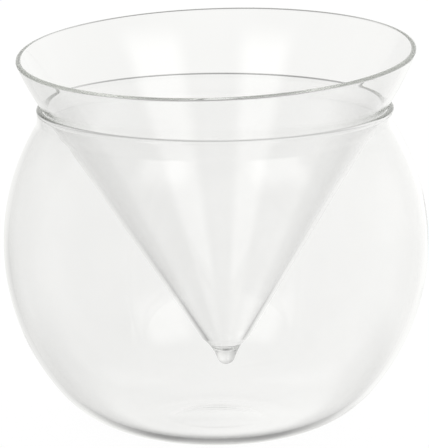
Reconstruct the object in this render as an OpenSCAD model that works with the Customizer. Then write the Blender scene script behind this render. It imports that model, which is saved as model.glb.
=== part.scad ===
// Two-piece glass for an iced cocktail, in millimetres.
// A cone-shaped drinking glass with a closed, solid tip hangs by its wall in the lip of a round
// bowl, which holds ice round the cone and stands in for the stem.
// Frame: +Z up, origin on the table at the centre of the bowl's foot.
// Each piece is one outline in the (radius, height) plane, turned round its own axis.

/* [Bowl] */
// Widest outside diameter of the globe
globe_d = 115; // [108:1:122]
// Height of that widest place above the table
waist_h = 51; // [49:0.5:53]
// How far past the axis the side arc is struck from, which fills out the shoulders
side_shift = 4; // [2:0.5:6]
// Radius between the side and the foot, outside
foot_round = 33; // [28:1:35]
// Radius between the side and the floor, inside
floor_round = 31.5; // [24:0.5:32]
// Height of the lip's top above the table
bowl_h = 88.6; // [88:0.1:90]
// Outside diameter of the lip
mouth_d = 96.2; // [95:0.1:97]
// Thickness of the bowl's wall
bowl_wall = 1.5; // [1.2:0.1:1.7]
// Thickness of the rounded bead round the lip
bead_t = 1.7; // [1.7:0.1:2.4]
// Thickness of the floor at the edge of the punt
floor_t = 1.6; // [1.5:0.1:4]
// Rise of the punt, the shallow hollow under the foot
punt_rise = 1; // [0.6:0.1:1.6]
// Radius of the punt where it meets the flat foot ring
punt_r = 13; // [9:0.5:14]

/* [Insert] */
// Outside diameter of the cone's rim
rim_d = 107.6; // [105:0.1:110]
// Half-angle of the cone
half_angle = 31.5; // [31:0.25:32]
// How much steeper the wall has become at the rim, in degrees
rim_turn = 9.5; // [6:0.5:11]
// Thickness of the cone's wall
cone_wall = 1.4; // [1.2:0.1:1.6]
// Radius of the rounded tip
tip_r = 2.5; // [2.2:0.1:2.7]
// How far the tip stops short of the sharp point that the cone's sides aim at
tip_cut = 2.8; // [2.4:0.1:3.2]
// Radius of the hollow above the tip
hollow_r = 14; // [12:1:18]
// Radius of the shoulder between that hollow and the cone
shoulder_r = 3; // [2:0.5:4]
// Distance along the wall from the sharp point to the shoulder
shoulder_at = 13.1; // [12:0.1:14]
// Height of the well's bottom above the sharp point
well_z = 7.6; // [7.5:0.1:7.8]
// Distance along the wall from the sharp point to where the well's wall ends
well_wall_at = 10; // [9.8:0.1:10.2]
// Radius of the corner between the well's wall and its bottom
well_corner_r = 2; // [1.5:0.5:2]

/* [Seat] */
// Lean of the loose insert in the lip, in degrees; 0 sets it upright
lean = 3.2; // [0:0.2:4]
// Compass direction the insert's top leans to, in degrees from +X towards +Y
lean_heading = 243; // [0:1:359]
// Gap between the cone and the lip where they come closest
seat_gap = 0.05; // [0.02:0.01:0.1]

/* [Hidden] */

bowl_tint = [0.90, 0.93, 0.91, 0.35];
cone_tint = [0.93, 0.95, 0.93, 0.35];
turn_fn = 180;      // facets of the preview round the axis
chord_error = 0.01; // most that an arc's chords may leave the true curve

// Bowl, outside
globe_r = globe_d / 2;
side_r = globe_r + side_shift;
foot_flat_r = tangent_x(side_r, foot_round, waist_h - foot_round);
foot_join = -atan2(waist_h - foot_round, foot_flat_r + side_shift);
// Bowl, lip and collar
bead_r = bead_t / 2;
collar_mid_r = mouth_d / 2 - bead_r;
bead_z = bowl_h - bead_r;
bead_blend = 1.2;   // fillet between the bead and the collar
neck_blend = 4;     // hollow fillet between the globe and the collar
collar_out_r = collar_mid_r + bowl_wall / 2;
neck_c = [collar_out_r + neck_blend, waist_h + sqrt(
    pow(side_r + neck_blend, 2) - pow(collar_out_r + neck_blend + side_shift, 2))];
neck_join = atan2(neck_c[1] - waist_h, neck_c[0] + side_shift);
// Bowl, inside
inner_side_r = side_r - bowl_wall;
floor_flat_r = tangent_x(inner_side_r, floor_round, waist_h - floor_t - floor_round);
floor_join = -atan2(waist_h - floor_t - floor_round, floor_flat_r + side_shift);
floor_dome = 0.9 * punt_rise;

// Insert, from the sharp point that its sides aim at
wall_way = [sin(half_angle), cos(half_angle)];
wall_out = [cos(half_angle), -sin(half_angle)];
tip_c = [0, tip_cut + tip_r];
shoulder_c = shoulder_at * wall_way - shoulder_r * wall_out;
hollow_c = touching(tip_c, tip_r + hollow_r, shoulder_c, shoulder_r + hollow_r);
corner_c = well_wall_at * wall_way - (cone_wall + well_corner_r) * wall_out;
corner_rise = corner_c[1] - well_z;
well_r = (pow(corner_c[0], 2) + pow(corner_rise, 2) - pow(well_corner_r, 2))
    / (2 * (corner_rise - well_corner_r));
well_c = [0, well_z + well_r];
// Insert, seat on the bead, then the stretch that turns steeper up to the rim
bead_to_point = collar_mid_r / tan(half_angle) - bead_r / sin(half_angle);
seat_len = (collar_mid_r - bead_r / cos(half_angle)) / sin(half_angle);
turn_past_seat = 3;  // wall between the seat and the start of the turn
turn_start = (seat_len + turn_past_seat) * wall_way;
rim_r = cone_wall / 2;
top_angle = half_angle - rim_turn;
turn_r = (rim_d / 2 - rim_r + rim_r * cos(top_angle) - turn_start[0])
    / (cos(top_angle) - cos(half_angle));
turn_c = turn_start - turn_r * wall_out;
rim_c = turn_c + (turn_r - rim_r) * [cos(top_angle), -sin(top_angle)];

// Seat: the insert rocks about the point where the lip's contact normals cross
rock_z = bead_z + collar_mid_r * tan(half_angle);
rock_reach = collar_mid_r / cos(half_angle);
insert_z = bead_z - bead_to_point
    + (seat_gap + rock_reach * (1 - cos(lean))) / sin(half_angle);

// Distance from the axis to the centre of a round that touches the side arc from inside
function tangent_x(arc_r, round_r, drop) =
    sqrt(pow(arc_r - round_r, 2) - pow(drop, 2)) - side_shift;

// The point on the right of the way from a to b, at those distances from them
function touching(a, reach_a, b, reach_b) =
    let (length = norm(b - a), unit = (b - a) / length,
         along = (pow(reach_a, 2) - pow(reach_b, 2) + pow(length, 2)) / (2 * length))
    a + along * unit + sqrt(pow(reach_a, 2) - pow(along, 2)) * [unit[1], -unit[0]];

// Direction from a to b
function heading(a, b) = atan2(b[1] - a[1], b[0] - a[0]);

// Points along an arc, close enough together to keep within chord_error
function arc(centre, r, from, to) =
    let (n = max(4, ceil(abs(to - from) / (2 * acos(1 - chord_error / r)))))
    [for (i = [0:n]) let (a = from + (to - from) * i / n)
        centre + r * [cos(a), sin(a)]];

// Points along a shallow dome, from its crown on the axis to its edge
function dome(crown_z, edge) =
    let (rise = crown_z - edge[1], r = (pow(edge[0], 2) + pow(rise, 2)) / (2 * rise))
    arc([0, crown_z - r], r, 90, acos(edge[0] / r));

function reverse(points) = [for (i = [len(points) - 1:-1:0]) points[i]];

// The points without those that repeat the one before
function tidy(points) =
    [for (i = [0:len(points) - 1])
        if (i == 0 || norm(points[i] - points[i - 1]) > 1e-4) points[i]];

// Rounded bead on the top edge of an upright wall, from the outside to the inside
function beaded_edge(centre, bead, wall, blend) =
    let (side = wall / 2 + blend,
         drop = sqrt(pow(bead + blend, 2) - pow(side, 2)),
         join = atan2(drop, side))
    concat(
        arc(centre + [side, -drop], blend, 180, 180 - join),
        arc(centre, bead, -join, 180 + join),
        arc(centre + [-side, -drop], blend, join, 0));

function bowl_outside() = concat(
    dome(punt_rise, [punt_r, 0]),
    arc([foot_flat_r, foot_round], foot_round, -90, foot_join),
    arc([-side_shift, waist_h], side_r, foot_join, neck_join),
    arc(neck_c, neck_blend, 180 + neck_join, 180));

function bowl_inside() = concat(
    arc(neck_c, neck_blend + bowl_wall, 180, 180 + neck_join),
    arc([-side_shift, waist_h], inner_side_r, neck_join, floor_join),
    arc([floor_flat_r, floor_t + floor_round], floor_round, floor_join, -90),
    reverse(dome(floor_t + floor_dome, [punt_r, floor_t])));

function bowl_outline() = tidy(concat(
    bowl_outside(),
    beaded_edge([collar_mid_r, bead_z], bead_r, bowl_wall, bead_blend),
    bowl_inside()));

function insert_outline() = tidy(concat(
    arc(tip_c, tip_r, -90, heading(tip_c, hollow_c)),
    arc(hollow_c, hollow_r, heading(hollow_c, tip_c), heading(hollow_c, shoulder_c)),
    arc(shoulder_c, shoulder_r, heading(shoulder_c, hollow_c), -half_angle),
    arc(turn_c, turn_r, -half_angle, -top_angle),
    arc(rim_c, rim_r, -top_angle, 180 - top_angle),
    arc(turn_c, turn_r - cone_wall, -top_angle, -half_angle),
    arc(corner_c, well_corner_r, -half_angle, heading(well_c, corner_c)),
    arc(well_c, well_r, heading(well_c, corner_c), -90)));

// Round bowl: globe, flat foot ring round a shallow punt, short collar and beaded lip
module bowl() {
    color(bowl_tint)
        rotate_extrude($fn = turn_fn)
            polygon(bowl_outline());
}

// Cone-shaped glass with a solid tip, as it hangs in the lip
module cone_insert() {
    color(cone_tint)
        translate([0, 0, rock_z])
            rotate([0, 0, lean_heading])
                rotate([0, lean, 0])
                    translate([0, 0, insert_z - rock_z])
                        rotate_extrude($fn = turn_fn)
                            polygon(insert_outline());
}

bowl();
cone_insert();
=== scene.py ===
# A round bowl of clear glass with a loose cone-shaped glass hanging in its lip.
# Units are metres and degrees; outlines are drawn in millimetres, as (radius, height) points.
import math

import bpy
import numpy as np
from mathutils import Matrix, Vector


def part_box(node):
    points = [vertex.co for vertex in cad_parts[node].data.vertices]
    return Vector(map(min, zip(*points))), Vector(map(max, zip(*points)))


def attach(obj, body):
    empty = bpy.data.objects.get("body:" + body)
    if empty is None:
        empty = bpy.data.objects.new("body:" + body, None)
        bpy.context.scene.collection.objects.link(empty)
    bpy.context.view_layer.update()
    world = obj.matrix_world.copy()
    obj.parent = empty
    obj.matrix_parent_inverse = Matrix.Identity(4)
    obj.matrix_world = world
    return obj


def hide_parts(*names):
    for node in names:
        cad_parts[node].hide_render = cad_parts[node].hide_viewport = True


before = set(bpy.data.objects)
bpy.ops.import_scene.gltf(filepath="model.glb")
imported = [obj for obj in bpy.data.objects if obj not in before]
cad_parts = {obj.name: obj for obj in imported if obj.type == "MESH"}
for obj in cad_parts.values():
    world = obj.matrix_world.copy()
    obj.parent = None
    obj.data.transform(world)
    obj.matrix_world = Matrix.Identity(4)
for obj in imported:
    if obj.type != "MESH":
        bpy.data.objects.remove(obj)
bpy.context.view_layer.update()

MM = 0.001

# Sizes that the frame gives, in millimetres
bowl_low, bowl_high = (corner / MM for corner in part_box("bowl"))
insert_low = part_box("cone_insert")[0] / MM
GLOBE_R = (bowl_high.x - bowl_low.x) / 2
BOWL_H = bowl_high.z

# Bowl, in millimetres
WAIST_H = 51.0          # height of the widest place
SIDE_SHIFT = 4.0        # how far past the axis the side arc is struck from
FOOT_ROUND = 33.0       # radius between the side and the foot, outside
FLOOR_ROUND = 31.5      # radius between the side and the floor, inside
MOUTH_R = 48.1          # outside radius of the lip
BOWL_WALL = 1.5
BEAD_R = 0.85           # half the thickness of the lip's bead
BEAD_BLEND = 1.2        # radius of the blend between the collar and the bead
NECK_BLEND = 4.0        # radius between the globe and the collar, outside
FLOOR_T = 1.6           # thickness of the floor over the foot's flat ring
PUNT_RISE = 1.0         # depth of the hollow in the middle of the foot
PUNT_R = 13.0
FLOOR_DOME = 0.9        # rise of the floor in its middle

# Insert, in millimetres and degrees
RIM_OUT_R = 53.8        # outside radius of the rim
HALF_ANGLE = 31.5
RIM_TURN = 9.5          # how much steeper the wall is at the rim
CONE_WALL = 1.4
TURN_PAST_SEAT = 3.0    # where the wall starts to turn, above the place where it rests
TIP_R = 2.5
TIP_CUT = 2.8           # how far the tip stops short of the cone's sharp point
HOLLOW_R = 14.0         # radius of the hollow between the tip and the shoulder
SHOULDER_R = 3.0
SHOULDER_AT = 13.1      # where the shoulder starts, along the wall from the sharp point
WELL_Z = 7.6            # lowest point inside, above the sharp point
WELL_WALL_AT = 10.0     # where the wall ends inside, along the wall from the sharp point
WELL_CORNER_R = 2.0
LEAN = 3.2              # how far the insert leans in the lip
LEAN_HEADING = 243.0    # which way it leans, from +X towards +Y

TURN_SEGMENTS = 320     # facets round the axis of each piece
ARC_STEP = 4.0          # largest turn between two points of an arc, in degrees
LEAST_ARC_STEPS = 4
LONGEST_STEP = 1.2      # largest distance between two points of an outline, in millimetres
SAME_POINT = 1e-4       # points closer than this are one, in millimetres


# ---- Outlines -------------------------------------------------------------------------------

def sin(angle):
    return math.sin(math.radians(angle))


def cos(angle):
    return math.cos(math.radians(angle))


def arc(centre, radius, start, end):
    """Points along an arc, from one angle to another."""
    turn = abs(end - start)
    length = math.radians(turn) * radius
    steps = max(LEAST_ARC_STEPS, math.ceil(turn / ARC_STEP), math.ceil(length / LONGEST_STEP))
    angles = np.radians(np.linspace(start, end, steps + 1))
    return np.array(centre) + radius * np.stack([np.cos(angles), np.sin(angles)], axis=1)


def dome(crown_z, edge):
    """Points along a shallow dome, from its crown on the axis to its edge."""
    rise = crown_z - edge[1]
    radius = (edge[0] ** 2 + rise ** 2) / (2 * rise)
    return arc((0, crown_z - radius), radius, 90, math.degrees(math.acos(edge[0] / radius)))


def tangent_x(arc_r, round_r, drop):
    """Distance from the axis to the centre of a round that touches the side arc from inside."""
    return math.sqrt((arc_r - round_r) ** 2 - drop ** 2) - SIDE_SHIFT


def touching(a, reach_a, b, reach_b):
    """The point on the right of the way from a to b, at those distances from them."""
    way = np.subtract(b, a)
    length = np.linalg.norm(way)
    unit = way / length
    along = (reach_a ** 2 - reach_b ** 2 + length ** 2) / (2 * length)
    return a + along * unit + math.sqrt(reach_a ** 2 - along ** 2) * np.array([unit[1], -unit[0]])


def heading(a, b):
    """Direction from a to b, in degrees."""
    return math.degrees(math.atan2(b[1] - a[1], b[0] - a[0]))


def beaded_edge(centre, bead, wall, blend):
    """Blend, bead and blend of an upright edge, from the outside to the inside."""
    side = wall / 2 + blend
    drop = math.sqrt((bead + blend) ** 2 - side ** 2)
    join = math.degrees(math.atan2(drop, side))
    return np.array(centre) + np.concatenate([
        arc((side, -drop), blend, 180, 180 - join),
        arc((0, 0), bead, -join, 180 + join),
        arc((-side, -drop), blend, join, 0)])


def joined(*stretches):
    """The stretches as one outline, without points that repeat the one before."""
    points = np.concatenate(stretches)
    gaps = np.linalg.norm(np.diff(points, axis=0), axis=1)
    return points[np.concatenate([[True], gaps > SAME_POINT])]


def bowl_outline():
    """From the middle of the punt, up the outside, over the lip and down the inside."""
    side_r = GLOBE_R + SIDE_SHIFT
    foot_flat_r = tangent_x(side_r, FOOT_ROUND, WAIST_H - FOOT_ROUND)
    foot_join = -math.degrees(math.atan2(WAIST_H - FOOT_ROUND, foot_flat_r + SIDE_SHIFT))
    collar_mid_r = MOUTH_R - BEAD_R
    neck_x = collar_mid_r + BOWL_WALL / 2 + NECK_BLEND
    neck_c = (neck_x, WAIST_H + math.sqrt(
        (side_r + NECK_BLEND) ** 2 - (neck_x + SIDE_SHIFT) ** 2))
    neck_join = math.degrees(math.atan2(neck_c[1] - WAIST_H, neck_x + SIDE_SHIFT))
    inner_side_r = side_r - BOWL_WALL
    floor_drop = WAIST_H - FLOOR_T - FLOOR_ROUND
    floor_flat_r = tangent_x(inner_side_r, FLOOR_ROUND, floor_drop)
    floor_join = -math.degrees(math.atan2(floor_drop, floor_flat_r + SIDE_SHIFT))
    side_c = (-SIDE_SHIFT, WAIST_H)
    return joined(
        dome(PUNT_RISE, (PUNT_R, 0)),
        arc((foot_flat_r, FOOT_ROUND), FOOT_ROUND, -90, foot_join),
        arc(side_c, side_r, foot_join, neck_join),
        arc(neck_c, NECK_BLEND, 180 + neck_join, 180),
        beaded_edge((collar_mid_r, BOWL_H - BEAD_R), BEAD_R, BOWL_WALL, BEAD_BLEND),
        arc(neck_c, NECK_BLEND + BOWL_WALL, 180, 180 + neck_join),
        arc(side_c, inner_side_r, neck_join, floor_join),
        arc((floor_flat_r, FLOOR_T + FLOOR_ROUND), FLOOR_ROUND, floor_join, -90),
        dome(FLOOR_T + FLOOR_DOME, (PUNT_R, FLOOR_T))[::-1])


def insert_outline():
    """From the tip, up the outside, over the rim and down to the well's bottom.

    Heights are above the sharp point that the cone's outside lines would meet in.
    """
    wall_way = np.array([sin(HALF_ANGLE), cos(HALF_ANGLE)])
    wall_out = np.array([cos(HALF_ANGLE), -sin(HALF_ANGLE)])
    tip_c = np.array([0, TIP_CUT + TIP_R])
    shoulder_c = SHOULDER_AT * wall_way - SHOULDER_R * wall_out
    hollow_c = touching(tip_c, TIP_R + HOLLOW_R, shoulder_c, SHOULDER_R + HOLLOW_R)
    seat_len = (MOUTH_R - BEAD_R - BEAD_R / cos(HALF_ANGLE)) / sin(HALF_ANGLE)
    turn_start = (seat_len + TURN_PAST_SEAT) * wall_way
    top_angle = HALF_ANGLE - RIM_TURN
    rim_r = CONE_WALL / 2
    turn_r = ((RIM_OUT_R - rim_r + rim_r * cos(top_angle) - turn_start[0])
              / (cos(top_angle) - cos(HALF_ANGLE)))
    turn_c = turn_start - turn_r * wall_out
    rim_c = turn_c + (turn_r - rim_r) * np.array([cos(top_angle), -sin(top_angle)])
    corner_c = WELL_WALL_AT * wall_way - (CONE_WALL + WELL_CORNER_R) * wall_out
    corner_rise = corner_c[1] - WELL_Z
    well_r = ((corner_c[0] ** 2 + corner_rise ** 2 - WELL_CORNER_R ** 2)
              / (2 * (corner_rise - WELL_CORNER_R)))
    well_c = np.array([0, WELL_Z + well_r])
    return joined(
        arc(tip_c, TIP_R, -90, heading(tip_c, hollow_c)),
        arc(hollow_c, HOLLOW_R, heading(hollow_c, tip_c), heading(hollow_c, shoulder_c)),
        arc(shoulder_c, SHOULDER_R, heading(shoulder_c, hollow_c), -HALF_ANGLE),
        arc(turn_c, turn_r, -HALF_ANGLE, -top_angle),
        arc(rim_c, rim_r, -top_angle, 180 - top_angle),
        arc(turn_c, turn_r - CONE_WALL, -top_angle, -HALF_ANGLE),
        arc(corner_c, WELL_CORNER_R, -HALF_ANGLE, heading(well_c, corner_c)),
        arc(well_c, well_r, heading(well_c, corner_c), -90))


# ---- Meshes ---------------------------------------------------------------------------------

def subdivide(points):
    """The outline with its long straight stretches cut up."""
    out = [points[0]]
    for a, b in zip(points[:-1], points[1:]):
        steps = max(1, math.ceil(np.linalg.norm(b - a) / LONGEST_STEP))
        out.extend(a + (b - a) * (i + 1) / steps for i in range(steps))
    return np.array(out)


def turned_points(outline):
    """The outline's points turned round the axis ring by ring, then its two ends on the axis."""
    ring_points = outline[1:-1]
    turn = np.arange(TURN_SEGMENTS) * 2 * math.pi / TURN_SEGMENTS
    ring = np.stack([np.cos(turn), np.sin(turn)], axis=1)
    body = np.empty((len(ring_points), TURN_SEGMENTS, 3))
    body[:, :, :2] = ring_points[:, 0, None, None] * ring
    body[:, :, 2] = ring_points[:, 1, None]
    poles = np.array([[0, 0, outline[0][1]], [0, 0, outline[-1][1]]])
    return np.concatenate([body.reshape(-1, 3), poles])


def turned_faces(rings):
    """Quads between the rings, and a fan of triangles from each pole."""
    here = np.arange(TURN_SEGMENTS)
    after = (here + 1) % TURN_SEGMENTS
    faces = []
    for low in range(0, (rings - 1) * TURN_SEGMENTS, TURN_SEGMENTS):
        high = low + TURN_SEGMENTS
        faces.extend(zip(low + here, low + after, high + after, high + here))
    first_pole = rings * TURN_SEGMENTS
    last_pole = first_pole + 1
    last_ring = first_pole - TURN_SEGMENTS
    faces.extend((first_pole, j, i) for i, j in zip(here, after))
    faces.extend((last_pole, last_ring + i, last_ring + j) for i, j in zip(here, after))
    return [tuple(int(v) for v in face) for face in faces]


def lathe(name, outline, place=Matrix.Identity(4)):
    """A closed solid: the outline, which starts and ends on the axis, turned round it."""
    points = subdivide(outline) * MM
    mesh = bpy.data.meshes.new(name)
    mesh.from_pydata(turned_points(points).tolist(), [], turned_faces(len(points) - 2))
    mesh.transform(place)
    mesh.shade_smooth()
    mesh.update()
    piece = bpy.data.objects.new(name, mesh)
    bpy.context.scene.collection.objects.link(piece)
    return piece


def insert_place():
    """Where the loose insert hangs: turned by its lean about the point it rocks on."""
    collar_mid_r = MOUTH_R - BEAD_R
    rock_z = BOWL_H - BEAD_R + collar_mid_r * math.tan(math.radians(HALF_ANGLE))
    tip_centre_drop = (rock_z - (insert_low.z + TIP_R)) / cos(LEAN)
    drop = tip_centre_drop + TIP_CUT + TIP_R
    return (Matrix.Translation((0, 0, rock_z * MM))
            @ Matrix.Rotation(math.radians(LEAN_HEADING), 4, "Z")
            @ Matrix.Rotation(math.radians(LEAN), 4, "Y")
            @ Matrix.Translation((0, 0, -drop * MM)))


# ---- Materials ------------------------------------------------------------------------------

# Noise scales are in waves to the metre, heights in metres. A range holds the values of the
# noise, from 0 to 1, between which its effect sets in.
GLASS_TINT = (0.80, 0.84, 0.76)
GLASS_DENSITY = 2.0
GLASS_IOR = 1.5
SMUDGE_SCALE = 60.0
SMUDGE_RANGE = (0.45, 0.75)
SMUDGE_ROUGHNESS = 0.015
DULL_SCALE = 140.0
DULL_RANGE = (0.3, 0.6)
DULLEST = 0.995         # what the dull spots let through
BOWL_WAVES = (45.0, 0.00007)    # scale and height of the hand-blown waves
INSERT_WAVES = (38.0, 0.00006)
CORD_STRETCH = 0.15     # cords are waves drawn out along the height
CORDS_PER_WAVE = 3.5
CORD_HEIGHT = 0.1       # height of the cords as a part of the waves' height


class Nodes:
    """Short calls for building a node tree."""

    def __init__(self, tree):
        self.tree = tree
        tree.nodes.clear()

    def add(self, kind, **settings):
        """A new node, with these settings."""
        node = self.tree.nodes.new(kind)
        for name, value in settings.items():
            setattr(node, name, value)
        return node

    def put(self, socket, value):
        """Link the socket to another one, or give it a plain value."""
        if isinstance(value, bpy.types.NodeSocket):
            self.tree.links.new(value, socket)
        else:
            socket.default_value = value

    def math(self, operation, *values):
        """The result of this operation on one or two values."""
        node = self.add("ShaderNodeMath", operation=operation)
        for socket, value in zip(node.inputs, values):
            self.put(socket, value)
        return node.outputs[0]

    def ramp(self, value, low, high, to_low=0.0, to_high=1.0):
        """A smooth step: to_low where the value is at low, to_high where it's at high."""
        node = self.add("ShaderNodeMapRange", interpolation_type="SMOOTHSTEP")
        for name, setting in (("Value", value), ("From Min", low), ("From Max", high),
                              ("To Min", to_low), ("To Max", to_high)):
            self.put(node.inputs[name], setting)
        return node.outputs["Result"]

    def output(self, kind, **shaders):
        """The tree's output, with these shaders in its sockets."""
        node = self.add(kind)
        for name, shader in shaders.items():
            self.put(node.inputs[name], shader)


def noise(n, coords, scale, detail=2.0):
    """A noise pattern with this many waves to the unit."""
    node = n.add("ShaderNodeTexNoise")
    n.put(node.inputs["Vector"], coords)
    n.put(node.inputs["Scale"], scale)
    n.put(node.inputs["Detail"], detail)
    return node.outputs[0]


def stretched(n, coords, height_scale):
    """The coordinates drawn out along the height, as blown glass is."""
    mapping = n.add("ShaderNodeMapping")
    n.put(mapping.inputs["Vector"], coords)
    n.put(mapping.inputs["Scale"], (1, 1, height_scale))
    return mapping.outputs[0]


def grey(n, value):
    """A colour with this value in every channel."""
    colour = n.add("ShaderNodeCombineColor")
    for channel in colour.inputs:
        n.put(channel, value)
    return colour.outputs[0]


def blown_bump(n, coords, wave_scale, wave_height):
    """The unevenness of hand-blown glass: round waves and upright cords."""
    waves = noise(n, coords, wave_scale, 1.0)
    cords = noise(n, stretched(n, coords, CORD_STRETCH), CORDS_PER_WAVE * wave_scale, 1.0)
    bump = n.add("ShaderNodeBump")
    n.put(bump.inputs["Strength"], 1.0)
    n.put(bump.inputs["Distance"], 1.0)
    n.put(bump.inputs["Height"], n.math(
        "ADD", n.math("MULTIPLY", waves, wave_height),
        n.math("MULTIPLY", cords, CORD_HEIGHT * wave_height)))
    return bump.outputs[0]


def glass(name, waves):
    """Clear glass: faint smudges and dull spots, a blown surface, and a tint in the thick parts."""
    material = bpy.data.materials.new(name)
    material.use_nodes = True
    n = Nodes(material.node_tree)
    coords = n.add("ShaderNodeTexCoord").outputs["Object"]
    shader = n.add("ShaderNodeBsdfPrincipled")
    n.put(shader.inputs["Base Color"],
          grey(n, n.ramp(noise(n, coords, DULL_SCALE), *DULL_RANGE, DULLEST, 1.0)))
    n.put(shader.inputs["Transmission Weight"], 1.0)
    n.put(shader.inputs["IOR"], GLASS_IOR)
    n.put(shader.inputs["Roughness"],
          n.ramp(noise(n, coords, SMUDGE_SCALE), *SMUDGE_RANGE, 0.0, SMUDGE_ROUGHNESS))
    n.put(shader.inputs["Normal"], blown_bump(n, coords, *waves))
    volume = n.add("ShaderNodeVolumeAbsorption")
    n.put(volume.inputs["Color"], (*GLASS_TINT, 1))
    n.put(volume.inputs["Density"], GLASS_DENSITY)
    n.output("ShaderNodeOutputMaterial", Surface=shader.outputs[0], Volume=volume.outputs[0])
    return material


# ---- Studio ---------------------------------------------------------------------------------

# The light keeps its place round the camera. Its directions are measured along the camera's
# axes, each from -1 to 1: right, up and ahead; aside is the distance from the middle.
# Each smooth step is (axis, from, to, factor at from, factor at to).
BACKDROP_STEPS = (
    ("ahead", -0.5, 0.6, 0.6, 1.0),         # the room round the camera is darker
    ("up", -0.06, 0.06, 0.955, 1.03),       # so is the table, next to the wall behind it
    ("right", -0.06, 0.06, 0.985, 1.0),     # and the left half of that wall
    ("up", 0.3, 0.7, 1.0, 0.75),            # the ceiling
    ("right", -0.9, 0.2, 0.6, 1.0),         # the room on the left
)
LOW_PATCH_STEPS = (                         # a patch of shade low down behind the glass
    ("up", -0.8, -0.6, 0.0, 1.0),
    ("up", -0.45, -0.15, 1.0, 0.0),
    ("ahead", 0.0, 0.5, 0.0, 1.0),
    ("aside", 0.05, 0.3, 1.0, 0.5),
)
LOW_PATCH = 0.32        # the light that's left in the middle of that patch
MOTTLE = 0.05           # how uneven the light is
MOTTLE_SCALE = 2.2
MOTTLE_RANGE = (0.35, 0.65)
# Softboxes behind the camera: azimuth to its right, elevation, half width, half height
SOFTBOXES = ((39.0, 38.5, 17.5, 12.5), (-33.0, 38.5, 15.0, 12.5))
SOFT_EDGE = 7.0
SOFTBOX_LIGHT = 1.1
WHITE = 1.05            # brightness of the backdrop where it's seen directly
LIGHT_COLOUR = (1.0, 1.0, 0.985)

FLOOR_HALF = 3.0
FLOOR_GAP = 0.0002      # how far the floor lies below the foot
FLOOR_GREY = 0.05
FLOOR_GLOW = 0.98

CAMERA_ELEVATION = 12.8
CAMERA_DISTANCE = 1.15
CAMERA_ROLL = 0.47
CAMERA_LENS = 341.0
AIM_UP = 0.00472        # the camera looks this far above the bowl's widest place
AIM_LEFT = 0.00038
CLIPPING = (0.05, 20)   # nearest and farthest distance that the camera shows

BOUNCES = 200           # light that a wall guides to a rim is reflected very often


def stepped(n, axes, steps):
    """The product of these smooth steps."""
    product = 1.0
    for axis, start, end, at_start, at_end in steps:
        product = n.math("MULTIPLY", product, n.ramp(axes[axis], start, end, at_start, at_end))
    return product


def softbox(n, azimuth, elevation, box_azimuth, box_elevation, half_width, half_height):
    """1 inside the softbox and 0 outside, with soft edges."""
    off_azimuth = n.math("ABSOLUTE", n.math("SUBTRACT", azimuth, box_azimuth))
    off_elevation = n.math("ABSOLUTE", n.math("SUBTRACT", elevation, box_elevation))
    return n.math(
        "MULTIPLY",
        n.ramp(off_azimuth, half_width - SOFT_EDGE, half_width + SOFT_EDGE, 1.0, 0.0),
        n.ramp(off_elevation, half_height - SOFT_EDGE, half_height + SOFT_EDGE, 1.0, 0.0))


def studio_light(n):
    """Brightness of the studio in each direction."""
    coords = n.add("ShaderNodeTexCoord").outputs["Camera"]
    direction = n.add("ShaderNodeSeparateXYZ")
    n.put(direction.inputs[0], coords)
    right, up, ahead = direction.outputs
    axes = {"right": right, "up": up, "ahead": ahead, "aside": n.math("ABSOLUTE", right)}
    patch = stepped(n, axes, LOW_PATCH_STEPS)
    light = n.math("MULTIPLY", stepped(n, axes, BACKDROP_STEPS),
                   n.ramp(patch, 0.0, 1.0, 1.0, LOW_PATCH))
    light = n.math("MULTIPLY", light, n.ramp(
        noise(n, coords, MOTTLE_SCALE, 1.0), *MOTTLE_RANGE, 1 - MOTTLE, 1 + MOTTLE))
    azimuth = n.math("DEGREES", n.math("ARCTAN2", right, n.math("MULTIPLY", ahead, -1.0)))
    elevation = n.math("DEGREES", n.math("ARCSINE", up))
    for box in SOFTBOXES:
        inside = softbox(n, azimuth, elevation, *box)
        light = n.math("ADD", light, n.math("MULTIPLY", inside, SOFTBOX_LIGHT))
    return light


def make_world():
    """The studio's light for the glass, and plain white where the camera sees past it."""
    world = bpy.data.worlds.new("studio")
    bpy.context.scene.world = world
    world.use_nodes = True
    n = Nodes(world.node_tree)
    direct = n.add("ShaderNodeLightPath").outputs["Is Camera Ray"]
    strength = n.math("ADD", n.math("MULTIPLY", studio_light(n), n.math("SUBTRACT", 1.0, direct)),
                      n.math("MULTIPLY", direct, WHITE))
    background = n.add("ShaderNodeBackground")
    n.put(background.inputs["Color"], (*LIGHT_COLOUR, 1))
    n.put(background.inputs["Strength"], strength)
    n.output("ShaderNodeOutputWorld", Surface=background.outputs[0])


def table_material():
    """A pale, evenly lit surface."""
    material = bpy.data.materials.new("pale_table")
    material.use_nodes = True
    n = Nodes(material.node_tree)
    diffuse = n.add("ShaderNodeBsdfDiffuse")
    n.put(diffuse.inputs["Color"], (FLOOR_GREY, FLOOR_GREY, FLOOR_GREY, 1))
    glow = n.add("ShaderNodeEmission")
    n.put(glow.inputs["Strength"], FLOOR_GLOW)
    both = n.add("ShaderNodeAddShader")
    n.put(both.inputs[0], diffuse.outputs[0])
    n.put(both.inputs[1], glow.outputs[0])
    n.output("ShaderNodeOutputMaterial", Surface=both.outputs[0])
    return material


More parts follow.
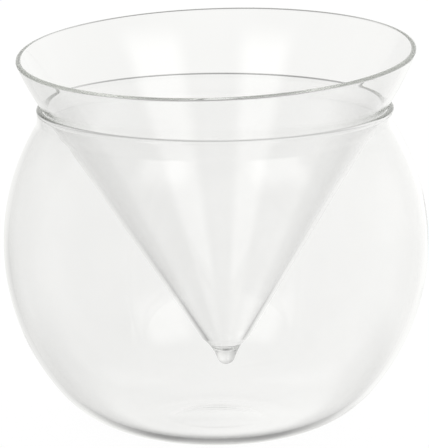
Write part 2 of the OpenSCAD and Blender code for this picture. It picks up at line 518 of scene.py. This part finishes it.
def make_floor():
    """A table top that only the camera sees: what the glass shows is the studio's light."""
    half = FLOOR_HALF
    mesh = bpy.data.meshes.new("floor")
    mesh.from_pydata([(-half, -half, 0), (half, -half, 0), (half, half, 0), (-half, half, 0)],
                     [], [(0, 1, 2, 3)])
    mesh.materials.append(table_material())
    floor = bpy.data.objects.new("floor", mesh)
    floor.location.z = -FLOOR_GAP
    bpy.context.scene.collection.objects.link(floor)
    floor.visible_transmission = False
    floor.visible_glossy = False
    floor.visible_diffuse = False
    floor.visible_shadow = False


def make_camera():
    """A long lens in front of the glass, looking slightly down."""
    centre = Vector((0, 0, WAIST_H * MM))
    back = Vector((0, -cos(CAMERA_ELEVATION), sin(CAMERA_ELEVATION)))
    up = Vector((0, sin(CAMERA_ELEVATION), cos(CAMERA_ELEVATION)))
    data = bpy.data.cameras.new("camera")
    data.lens = CAMERA_LENS
    data.clip_start, data.clip_end = CLIPPING
    camera = bpy.data.objects.new("camera", data)
    camera.location = centre + back * CAMERA_DISTANCE
    target = centre + up * AIM_UP - Vector((AIM_LEFT, 0, 0))
    aim = (target - camera.location).to_track_quat("-Z", "Y")
    roll = Matrix.Rotation(-math.radians(CAMERA_ROLL), 4, "Z").to_quaternion()
    camera.rotation_mode = "QUATERNION"
    camera.rotation_quaternion = aim @ roll
    bpy.context.scene.collection.objects.link(camera)
    bpy.context.scene.camera = camera


def set_light_paths():
    """Let light travel as far through the glass as it does in a real wall."""
    scene = bpy.context.scene
    scene.view_settings.view_transform = "Standard"
    scene.cycles.max_bounces = BOUNCES
    scene.cycles.transmission_bounces = BOUNCES
    scene.cycles.glossy_bounces = BOUNCES
    scene.cycles.caustics_refractive = True
    scene.cycles.caustics_reflective = True
    scene.cycles.use_denoising = True


# ---- Assembly -------------------------------------------------------------------------------

bowl = lathe("bowl_blown", bowl_outline())
insert = lathe("insert_blown", insert_outline(), insert_place())
for piece, body, node, slot in ((bowl, "bowl", "bowl", "bowl_glass"),
                                (insert, "insert", "cone_insert", "insert_glass")):
    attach(piece, body)
    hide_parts(node)
bowl.data.materials.append(glass("bowl_glass", BOWL_WAVES))
insert.data.materials.append(glass("insert_glass", INSERT_WAVES))

make_world()
make_floor()
make_camera()
set_light_paths()
